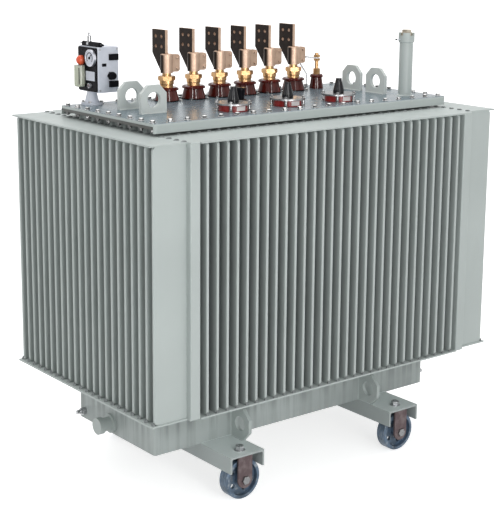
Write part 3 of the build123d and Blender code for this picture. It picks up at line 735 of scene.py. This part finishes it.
class Piece:
    """A mesh made up of turned, pressed and welded forms, each in one of the finishes."""

    def __init__(self, name):
        self.name = name
        self.form = bmesh.new()
        self.slots = []

    def index(self, slot):
        """The number of a finish among those of this piece."""
        if slot not in self.slots:
            self.slots.append(slot)
        return self.slots.index(slot)

    def skin(self, rings, slot):
        """Join rings of points, which are closed loops of one length, into a skin with end caps."""
        index = self.index(slot)
        rows = [[self.form.verts.new(point) for point in ring] for ring in rings]
        count = len(rows[0])
        faces = []
        for low, high in zip(rows, rows[1:]):
            for step in range(count):
                after = (step + 1) % count
                faces.append(self.form.faces.new((low[step], low[after], high[after], high[step])))
        faces.append(self.form.faces.new(rows[0][::-1]))
        faces.append(self.form.faces.new(rows[-1]))
        for face in faces:
            face.material_index = index
            face.smooth = True

    def turned(self, outline, place, slot, sides=20, turn=0.0):
        """A form of revolution about the local Z from (radius, height) points with radius above zero."""
        rings = []
        for radius, height in outline:
            ring = []
            for step in range(sides):
                angle = turn + step * math.tau / sides
                ring.append(place @ Vector((radius * math.cos(angle), radius * math.sin(angle), height)))
            rings.append(ring)
        self.skin(rings, slot)

    def pressed(self, outline, height, edge, place, slot):
        """A plate with a bevelled top edge from a convex outline round the local origin."""
        reach = max(Vector(point).length for point in outline)
        inner = (reach - edge) / reach
        rings = [
            [place @ Vector((x, y, 0)) for x, y in outline],
            [place @ Vector((x, y, height - edge)) for x, y in outline],
            [place @ Vector((x * inner, y * inner, height)) for x, y in outline],
        ]
        self.skin(rings, slot)

    def bead(self, start, end, slot):
        """A rippled weld bead between two points."""
        run = end - start
        along = run.normalized()
        side = along.orthogonal().normalized()
        up = along.cross(side)
        count = max(4, int(run.length / weld_step))
        sides = 8
        rings = []
        for step in range(count + 1):
            ripple_share = weld_ripple_share if step % 2 else -weld_ripple_share
            swell = 1 + ripple_share + random.uniform(-weld_wobble_share, weld_wobble_share)
            if step in (0, count):
                swell = weld_end_share
            middle = start + run * (step / count)
            ring = []
            for corner in range(sides):
                angle = corner * math.tau / sides
                out = side * math.cos(angle) + up * math.sin(angle)
                ring.append(middle + weld_radius * swell * out)
            rings.append(ring)
        self.skin(rings, slot)

    def bolt(self, place, scale, slot):
        """A hexagon head on a washer, standing on the local z = 0."""
        washer = [(bolt_washer_radius, 0), (bolt_washer_radius, bolt_washer - bolt_edge / 2),
                  (bolt_washer_radius - bolt_edge, bolt_washer)]
        head_low = bolt_washer
        head_high = bolt_washer + bolt_head
        head = [
            (bolt_flat, head_low),
            (bolt_flat, head_high - bolt_edge),
            (bolt_flat - 2 * bolt_edge, head_high),
        ]
        sized = place @ Matrix.Scale(scale, 4)
        self.turned(washer, sized, slot)
        self.turned(head, sized, slot, sides=6, turn=random.uniform(0, 1))

    def nut(self, place, scale, slot):
        """A nut with its washer and the bolt's end, standing on the local z = 0."""
        washer = [(bolt_washer_radius, 0), (bolt_washer_radius, bolt_washer)]
        low = bolt_washer
        high = bolt_washer + nut_height
        body = [(bolt_flat - bolt_edge, low), (bolt_flat, low + bolt_edge), (bolt_flat, high - bolt_edge),
                (bolt_flat - bolt_edge, high)]
        end = high + bolt_tail
        tail = [(bolt_shank, high), (bolt_shank, end - bolt_edge), (bolt_shank - bolt_edge, end)]
        sized = place @ Matrix.Scale(scale, 4)
        self.turned(washer, sized, slot)
        self.turned(body, sized, slot, sides=6, turn=random.uniform(0, 1))
        self.turned(tail, sized, slot, sides=12)

    def screw(self, place, slot):
        """A slotted screw head, as two half rounds with the slot between them."""
        steps = 8
        arc = []
        for step in range(steps + 1):
            angle = -math.pi / 2 + step * math.pi / steps
            arc.append((max(screw_slot, screw_radius * math.cos(angle)), screw_radius * math.sin(angle)))
        for half in (0, math.pi):
            turned = place @ Matrix.Rotation(half, 4, "Z")
            rings = [[turned @ Vector((x, y, height)) for x, y in arc] for height in (0, screw_height)]
            self.skin(rings, slot)

    def band(self, radius, thickness, low, high, start, end, place, slot):
        """A strip wrapped part of the way round an upright cylinder, with angles in degrees."""
        steps = 12
        outer = radius + thickness
        section = ((radius, low), (outer, low), (outer, high), (radius, high))
        rings = []
        for step in range(steps + 1):
            angle = math.radians(start + (end - start) * step / steps)
            out = Vector((math.cos(angle), math.sin(angle), 0))
            rings.append([place @ (out * reach + Vector((0, 0, height))) for reach, height in section])
        self.skin(rings, slot)

    def pad(self, place, width, reach, height):
        """A half-round weld pad that stands out along the local -Y, in a dark enamel that paints shade."""
        steps = 8
        arc = []
        for step in range(steps + 1):
            angle = step * math.pi / steps
            arc.append((width / 2 * math.cos(angle), -reach * math.sin(angle)))
        rings = [
            [place @ Vector((x, y, 0)) for x, y in arc],
            [place @ Vector((x * pad_crown_share, y * pad_crown_share, height)) for x, y in arc],
        ]
        self.skin(rings, "seam_painted_shade_enamel")

    def done(self, body=tank):
        """Turn the form into an object that moves with a body."""
        bmesh.ops.recalc_face_normals(self.form, faces=self.form.faces)
        mesh = bpy.data.meshes.new(self.name)
        self.form.to_mesh(mesh)
        self.form.free()
        for slot in self.slots:
            mesh.materials.append(finishes[slot])
        mesh.set_sharp_from_angle(angle=math.radians(sharp_angle))
        shape = bpy.data.objects.new(self.name, mesh)
        bpy.context.scene.collection.objects.link(shape)
        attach(shape, body)


def at(x, y, z):
    """A place whose axes are those of the frame."""
    return Matrix.Translation((x, y, z))


def facing(x, y, z, direction):
    """A place whose local Z points in a direction."""
    turn = Vector((0, 0, 1)).rotation_difference(Vector(direction))
    return at(x, y, z) @ turn.to_matrix().to_4x4()


def rounded(width, height, radius):
    """A rectangle with rounded corners as a loop of points round the origin."""
    steps = 4
    points = []
    for corner in range(4):
        side_x = 1 if corner in (0, 3) else -1
        side_y = 1 if corner < 2 else -1
        for step in range(steps + 1):
            angle = (corner + step / steps) * math.pi / 2
            points.append((
                side_x * (width / 2 - radius) + radius * math.cos(angle),
                side_y * (height / 2 - radius) + radius * math.sin(angle),
            ))
    return points


def even(low, high, count):
    """Evenly spaced values from low to high."""
    return [low + (high - low) * step / (count - 1) for step in range(count)]


left_face = Matrix(((0, 0, -1), (-1, 0, 0), (0, 1, 0))).to_4x4()
front_face = Matrix(((1, 0, 0), (0, 0, -1), (0, 1, 0))).to_4x4()
lid_low, lid_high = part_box("lid")
rim_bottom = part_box("tank_rim")[0].z
lid_top = lid_high.z


def lid_bolt_places():
    """The middle of each lid bolt: full rows along the sides, and the ends between them."""
    reach_x = lid_high.x - lid_bolt_end_inset
    reach_y = lid_high.y - lid_bolt_side_inset
    places = []
    for side in (-1, 1):
        for x in even(-reach_x, reach_x, lid_bolts_long):
            places.append((x, side * reach_y))
        for y in even(-reach_y, reach_y, lid_bolts_short)[1:-1]:
            places.append((side * reach_x, y))
    return places


def lid_bolts():
    """Bolts all round the lid, with their nuts under the rim."""
    piece = Piece("lid_bolts")
    for x, y in lid_bolt_places():
        piece.bolt(at(x, y, lid_top), lid_bolt_scale, "bolt_zinc")
        piece.nut(facing(x, y, rim_bottom, (0, 0, -1)), lid_bolt_scale, "bolt_zinc")
    piece.done()


def fin_places(name, out, along):
    """The middles of a folded wall's fins along an axis, from the mesh points at the fins' tips."""
    shape = frame["nodes"][name]
    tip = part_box(name)[0][out]
    half_pitch = fin_pitch / 2
    steps = set()
    for vertex in shape.data.vertices:
        spot = shape.matrix_world @ vertex.co
        if spot[out] < tip + tip_reach:
            steps.add(round(spot[along] / half_pitch))
    return [step * half_pitch for step in sorted(steps)]


def fin_welds():
    """Half-round weld pads, one to a fin, dark with painted shade: under the lid's edge, and at the foot of
    each fin.
    """
    scallops = Piece("cover_scallops")
    feet = Piece("fin_feet")
    front_low, front_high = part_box("front_fin_plates")
    left_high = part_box("left_fin_plates")[1]
    foot_z = front_low.z + cover_thickness
    front_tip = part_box("front_fin_wall")[0].y
    left_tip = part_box("left_fin_wall")[0].x
    quarter = Matrix.Rotation(-math.pi / 2, 4, "Z")
    for turn in (0, math.pi):
        half_turn = Matrix.Rotation(turn, 4, "Z")
        for x in fin_places("front_fin_wall", 1, 0):
            feet.pad(half_turn @ at(x, front_tip, foot_z), foot_width, front_foot_reach, foot_height)
            if abs(x) < lid_high.x:
                place = half_turn @ at(x, lid_low.y + scallop_tuck, front_high.z)
                scallops.pad(place, scallop_width, scallop_reach, scallop_height)
        for y in fin_places("left_fin_wall", 0, 1):
            place = half_turn @ at(left_tip, y, foot_z) @ quarter
            feet.pad(place, foot_width, end_foot_reach, foot_height)
            place = half_turn @ at(left_high.x, y, left_high.z) @ quarter
            scallops.pad(place, scallop_width, scallop_reach, scallop_height)
    scallops.done()
    feet.done()


def round_places(x, y, z, circle):
    """Four upright places on a circle, set crosswise."""
    places = []
    for step in range(4):
        angle = math.pi / 4 + step * math.pi / 2
        places.append(at(x + circle * math.cos(angle), y + circle * math.sin(angle), z))
    return places


def lv_places():
    """The middles of the low-voltage bushings."""
    low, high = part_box("lv_porcelain")
    radius = (high.y - low.y) / 2
    return [(x, (low.y + high.y) / 2) for x in even(low.x + radius, high.x - radius, lv_count)]


def bushing_fittings():
    """Low-voltage row: seat rings, hold-down bolts and clamp bolts, and the bolt of the neutral strap."""
    piece = Piece("bushing_fittings")
    flag_low, flag_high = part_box("lv_flags")
    places = lv_places()
    ear_end = flag_high.x - places[-1][0]
    middle = flag_low.z + barrel_height / 2
    ring = [
        (foot_ring_radius, 0),
        (foot_ring_radius, foot_ring_height),
        (foot_ring_radius - foot_ring_height, foot_ring_height),
    ]
    for x, y in places:
        piece.turned(ring, at(x, y, lid_top), "black_resin", sides=32)
        for spot in round_places(x, y, lid_top, foot_bolt_circle):
            piece.bolt(spot, foot_bolt_scale, "bolt_zinc")
        for side in (-1, 1):
            spot_x = x + ear_end - ear_bolt_inset
            spot_z = middle + side * ear_bolt_rise
            front = facing(spot_x, y - ear_half_thickness, spot_z, (0, -1, 0))
            rear = facing(spot_x, y + ear_half_thickness, spot_z, (0, 1, 0))
            piece.bolt(front, clamp_bolt_scale, "bronze")
            piece.nut(rear, clamp_bolt_scale, "bronze")
    low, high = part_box("neutral_porcelain")
    neutral = (low + high) / 2
    turn = math.radians(strap_turn)
    foot_x = neutral.x + strap_bolt_reach * math.cos(turn)
    foot_y = neutral.y + strap_bolt_reach * math.sin(turn)
    piece.bolt(at(foot_x, foot_y, lid_top + strap_thickness), strap_bolt_scale, "bolt_zinc")
    piece.done()


def hv_fittings():
    """High-voltage rings: nuts on the clamp studs and a blank patch on each ring."""
    piece = Piece("hv_fittings")
    ring_low, ring_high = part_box("hv_rings")
    radius = (ring_high.y - ring_low.y) / 2
    row_y = (ring_low.y + ring_high.y) / 2
    places = even(ring_low.x + radius, ring_high.x - radius, hv_count)
    height = ring_high.z - ring_low.z
    for x in places:
        foot = at(x, row_y, ring_low.z)
        patch_top = height - patch_margin
        piece.band(
            radius, patch_thickness, patch_margin, patch_top, patch_from, patch_to, foot, "pale_resin")
        for level in (lid_top, ring_high.z + hv_clamp):
            for spot in round_places(x, row_y, level, hv_stud_circle):
                piece.bolt(spot, stud_nut_scale, "bolt_zinc")
    piece.done()


def relay_case(piece):
    """Cover screws on the relay's front and back, the blank plate on its face, and the front window."""
    case_low, case_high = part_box("relay_housing")
    face_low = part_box("relay_face")[0]
    middle = (case_low + case_high) / 2
    for x in (case_low.x + relay_screw_inset, case_high.x - relay_screw_inset):
        for z in (case_low.z + relay_screw_inset, case_high.z - relay_screw_inset):
            piece.screw(facing(x, case_low.y, z, (0, -1, 0)), "zinc")
            piece.screw(facing(x, case_high.y, z, (0, 1, 0)), "zinc")
    plate = rounded(plate_width, plate_height, plate_corner)
    plate_place = at(face_low.x, middle.y - plate_shift, face_low.z + plate_rise) @ left_face
    piece.pressed(plate, plate_thickness, plate_thickness / 2, plate_place, "white_resin")
    window = rounded(window_width, window_height, window_corner)
    window_x = case_low.x + window_in_share * (case_high.x - case_low.x)
    window_z = case_low.z + window_up_share * (case_high.z - case_low.z)
    window_place = at(window_x, case_low.y, window_z) @ front_face
    piece.pressed(window, plate_thickness, plate_thickness / 2, window_place, "black_resin")


def relay_dial(piece):
    """The large dial's toothed bezel, face, scale, hub and hand, and the cap of the setting below it."""
    dial_low, dial_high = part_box("relay_dials")
    dial = at(dial_low.x, dial_low.y + dial_radius, dial_high.z - dial_radius) @ left_face
    tooth = 360 / dial_teeth
    bezel_radius = dial_radius - dial_bezel
    for step in range(dial_teeth):
        start = step * tooth
        end = start + dial_tooth_share * tooth
        piece.band(bezel_radius, dial_bezel, 0, dial_bezel / 2, start, end, dial, "dial_metal")
    disc = [
        (dial_face_radius, 0),
        (dial_face_radius, dial_face / 2),
        (dial_face_radius - dial_face, dial_face),
    ]
    piece.turned(disc, dial, "white_resin", sides=40)
    scale_top = 2 * dial_face
    piece.band(scale_radius, scale_width, dial_face, scale_top, scale_from, scale_to, dial, "black_resin")
    hub = [(2 * pointer_width, 0), (2 * pointer_width, dial_bezel), (pointer_width, dial_bezel)]
    piece.turned(hub, dial, "black_resin")
    hand = rounded(pointer_length, pointer_width, pointer_width / 3)
    turn = Matrix.Rotation(math.radians(pointer_turn), 4, "Z") @ at(pointer_length / 2, 0, dial_face)
    piece.pressed(hand, plate_thickness, plate_thickness / 3, dial @ turn, "black_resin")
    setting_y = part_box("relay_face")[0].y + setting_inset
    setting = at(dial_low.x, setting_y, dial_low.z + setting_radius) @ left_face
    cap = [
        (setting_cap_radius, 0),
        (setting_cap_radius, setting_cap / 2),
        (setting_cap_radius - setting_cap, setting_cap),
    ]
    piece.turned(cap, setting, "red_primer")


def relay_level_line(piece):
    """The dark upright line on the level glass."""
    low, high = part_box("relay_level_glass")
    radius = (high.y - low.y) / 2
    glass = at(low.x + radius, low.y + radius, low.z)
    top = high.z - low.z - line_margin
    piece.band(radius, line_thickness, line_margin, top, line_from, line_to, glass, "black_resin")


def relay_tap(piece):
    """The sampling tube, and the tap's stem, knob and band."""
    bar_low, bar_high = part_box("relay_manifold")
    bar = (bar_low + bar_high) / 2
    tap_low, tap_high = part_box("relay_petcock")
    tap_y = (tap_low.y + tap_high.y) / 2
    tube = [(tube_radius, 0), (tube_radius, tube_length)]
    piece.turned(tube, facing(bar.x, bar_high.y, bar.z, (0, 1, 0)), "zinc", sides=12)
    stem = [(tap_stem_radius, 0), (tap_stem_radius, tap_stem_length)]
    piece.turned(stem, facing(bar.x, bar_low.y, bar.z, (0, -1, 0)), "zinc", sides=12)
    knob = [
        (tap_knob_radius / 2, 0),
        (tap_knob_radius, tap_knob_length / 4),
        (tap_knob_radius, tap_knob_length),
        (tap_knob_radius / 2, tap_knob_length),
    ]
    knob_y = bar_low.y - tap_stem_length
    piece.turned(knob, facing(bar.x, knob_y, bar.z, (0, -1, 0)), "black_resin", sides=16)
    band = [(tap_band_radius, 0), (tap_band_radius, tap_band_width)]
    piece.turned(band, facing(bar.x, tap_y - tap_band_width / 2, bar.z, (0, 1, 0)), "zinc", sides=24)


def relay_fittings():
    """The relay's small parts, and the bolts of its foot."""
    piece = Piece("relay_fittings")
    relay_case(piece)
    relay_dial(piece)
    relay_level_line(piece)
    relay_tap(piece)
    low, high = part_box("relay_pedestal")
    foot = (low + high) / 2
    for spot in round_places(foot.x, foot.y, low.z + pedestal_flange, pedestal_bolt_circle):
        piece.bolt(spot, pedestal_bolt_scale, "bolt_zinc")
    piece.done()


def filler_pin():
    """The pin that locks the plug of the filling pipe, with its head."""
    piece = Piece("filler_pin")
    low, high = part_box("filler_pipe")
    middle = (low + high) / 2
    level = high.z - filler_pin_drop
    pin = [(filler_pin_radius, 0), (filler_pin_radius, filler_pin_length)]
    tip = [
        (filler_pin_radius, 0),
        (filler_pin_tip_radius, filler_pin_radius),
        (filler_pin_tip_radius, filler_pin_tip),
    ]
    pin_x = middle.x - collar_radius
    tip_x = pin_x - filler_pin_length
    piece.turned(pin, facing(pin_x, middle.y, level, (-1, 0, 0)), "white_resin", sides=12)
    piece.turned(tip, facing(tip_x, middle.y, level, (-1, 0, 0)), "black_resin", sides=12)
    piece.done()


def welds():
    """Beads at the feet of the lifting lugs, the haulage eyes and the skirt."""
    piece = Piece("welds")
    channel_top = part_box("base_channel_left")[1].z
    for mount in record["mounts"]:
        spot = Vector(mount["pos_m"])
        if mount["name"].startswith("lug"):
            across = Vector(mount["axis"])
            along = Vector((across.y, across.x, 0))
            foot = Vector((spot.x, spot.y, lid_top))
            for side in (-1, 1):
                edge = foot + across * side * lug_thickness / 2
                piece.bead(edge - along * lug_width / 2, edge + along * lug_width / 2, "lid_enamel")
        if mount["name"].startswith("haulage"):
            outward = 1 if spot.y > 0 else -1
            root_y = outward * body_high.y
            for side in (-1, 1):
                x = spot.x + side * eye_thickness / 2
                low = Vector((x, root_y, channel_top))
                piece.bead(low, low + Vector((0, outward * eye_foot, 0)), "channel_enamel")
                piece.bead(low, low + Vector((0, 0, 2 * (spot.z - channel_top))), "tank_enamel")
    for name in ("base_channel_left", "base_channel_right"):
        low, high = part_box(name)
        for y in (body_low.y, body_high.y):
            piece.bead(Vector((low.x, y, channel_top)), Vector((high.x, y, channel_top)), "channel_enamel")
    piece.done()


def roller_fittings():
    """Fork bolts on the channels, and a machined hub face on both sides of each roller."""
    piece = Piece("roller_bolts")
    channel_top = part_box("base_channel_left")[1].z
    for body in frame["bodies"]:
        if body == tank:
            continue
        low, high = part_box(body)
        middle = (low + high) / 2
        piece.bolt(at(middle.x, middle.y, channel_top), channel_bolt_scale, "zinc")
        hub = Piece(body + "_hub")
        cap = [(hub_cap_radius, 0), (hub_cap_radius, hub_cap / 2), (hub_cap_radius - hub_cap, hub_cap)]
        for side, y in ((-1, low.y), (1, high.y)):
            hub.turned(cap, facing(middle.x, y, middle.z, (0, side, 0)), "zinc", sides=32)
        hub.done(body)
    piece.done()


def background_rays(tree):
    """One where the camera, a mirroring face or glass looks at the background, and zero elsewhere."""
    path = tree.nodes.new("ShaderNodeLightPath")
    seen = path.outputs["Is Camera Ray"]
    for ray in ("Is Glossy Ray", "Is Transmission Ray"):
        either = tree.nodes.new("ShaderNodeMath")
        either.operation = "MAXIMUM"
        tree.links.new(seen, either.inputs[0])
        tree.links.new(path.outputs[ray], either.inputs[1])
        seen = either.outputs[0]
    return seen


def floor():
    """A wide plain floor."""
    form = bmesh.new()
    bmesh.ops.create_grid(form, x_segments=4, y_segments=4, size=floor_reach)
    mesh = bpy.data.meshes.new("floor")
    form.to_mesh(mesh)
    form.free()
    paint = Paint("floor_paint")
    lift = paint.product(background_rays(paint.tree), floor_lift)
    paint.set(Base_Color=floor_colour, Roughness=0.85)
    paint.set(Emission_Color=background_colour, Emission_Strength=lift)
    mesh.materials.append(paint.material)
    shape = bpy.data.objects.new("floor", mesh)
    bpy.context.scene.collection.objects.link(shape)


def world():
    """Even white surroundings, which the camera, metal and glass see as plain white."""
    sky = bpy.data.worlds.new("studio")
    sky.use_nodes = True
    nodes = sky.node_tree.nodes
    back = nodes["Background"]
    back.inputs["Color"].default_value = background_colour
    level = nodes.new("ShaderNodeMapRange")
    level.inputs["To Min"].default_value = world_strength
    level.inputs["To Max"].default_value = 1.0
    sky.node_tree.links.new(background_rays(sky.node_tree), level.inputs["Value"])
    sky.node_tree.links.new(level.outputs["Result"], back.inputs["Strength"])
    bpy.context.scene.world = sky


def light(name, kind, place, aim, **settings):
    """A lamp that stands at a place, points at another, and isn't seen by the camera."""
    lamp = bpy.data.lights.new(name, kind)
    for key, value in settings.items():
        setattr(lamp, key, value)
    shape = bpy.data.objects.new(name, lamp)
    shape.location = place
    shape.rotation_euler = (aim - place).to_track_quat("-Z", "Y").to_euler()
    shape.visible_camera = False
    bpy.context.scene.collection.objects.link(shape)
    return shape


def camera():
    """The picture's own viewpoint, with the optical axis a little above the middle of the picture."""
    yaw = math.radians(camera_yaw)
    pitch = math.radians(camera_pitch)
    roll = math.radians(camera_roll)
    ahead = Vector((math.sin(yaw) * math.cos(pitch), math.cos(yaw) * math.cos(pitch), math.sin(pitch)))
    level = Vector((math.cos(yaw), -math.sin(yaw), 0))
    upright = level.cross(ahead)
    right = level * math.cos(roll) + upright * math.sin(roll)
    up = right.cross(ahead)
    lens = bpy.data.cameras.new("camera")
    lens.sensor_fit = "AUTO"
    lens.sensor_width = sensor_width
    lens.lens = camera_focus / picture_height * sensor_width
    lens.shift_y = -camera_rise / picture_height
    shape = bpy.data.objects.new("camera", lens)
    turn = Matrix((right, up, -ahead)).transposed()
    shape.matrix_world = Matrix.Translation(camera_place) @ turn.to_4x4()
    bpy.context.scene.collection.objects.link(shape)
    bpy.context.scene.camera = shape


lid_bolts()
fin_welds()
bushing_fittings()
hv_fittings()
relay_fittings()
filler_pin()
welds()
roller_fittings()
floor()
world()
light("key", "AREA", key_place, key_aim, energy=key_power, size=key_size)
light("front", "SUN", front_from, Vector(), energy=front_strength, angle=math.radians(front_angle))
light("top", "SUN", top_from, Vector(), energy=top_strength, angle=math.radians(top_angle))
light("left", "SUN", left_from, Vector(), energy=left_strength, angle=math.radians(left_angle))
for number, place in enumerate(strip_places):
    strip = light(
        f"strip_{number}", "AREA", place, strip_aim, energy=strip_power, shape="RECTANGLE",
        size=strip_width, size_y=strip_height)
    strip.visible_diffuse = False
camera()
bpy.context.scene.view_settings.view_transform = "Standard"
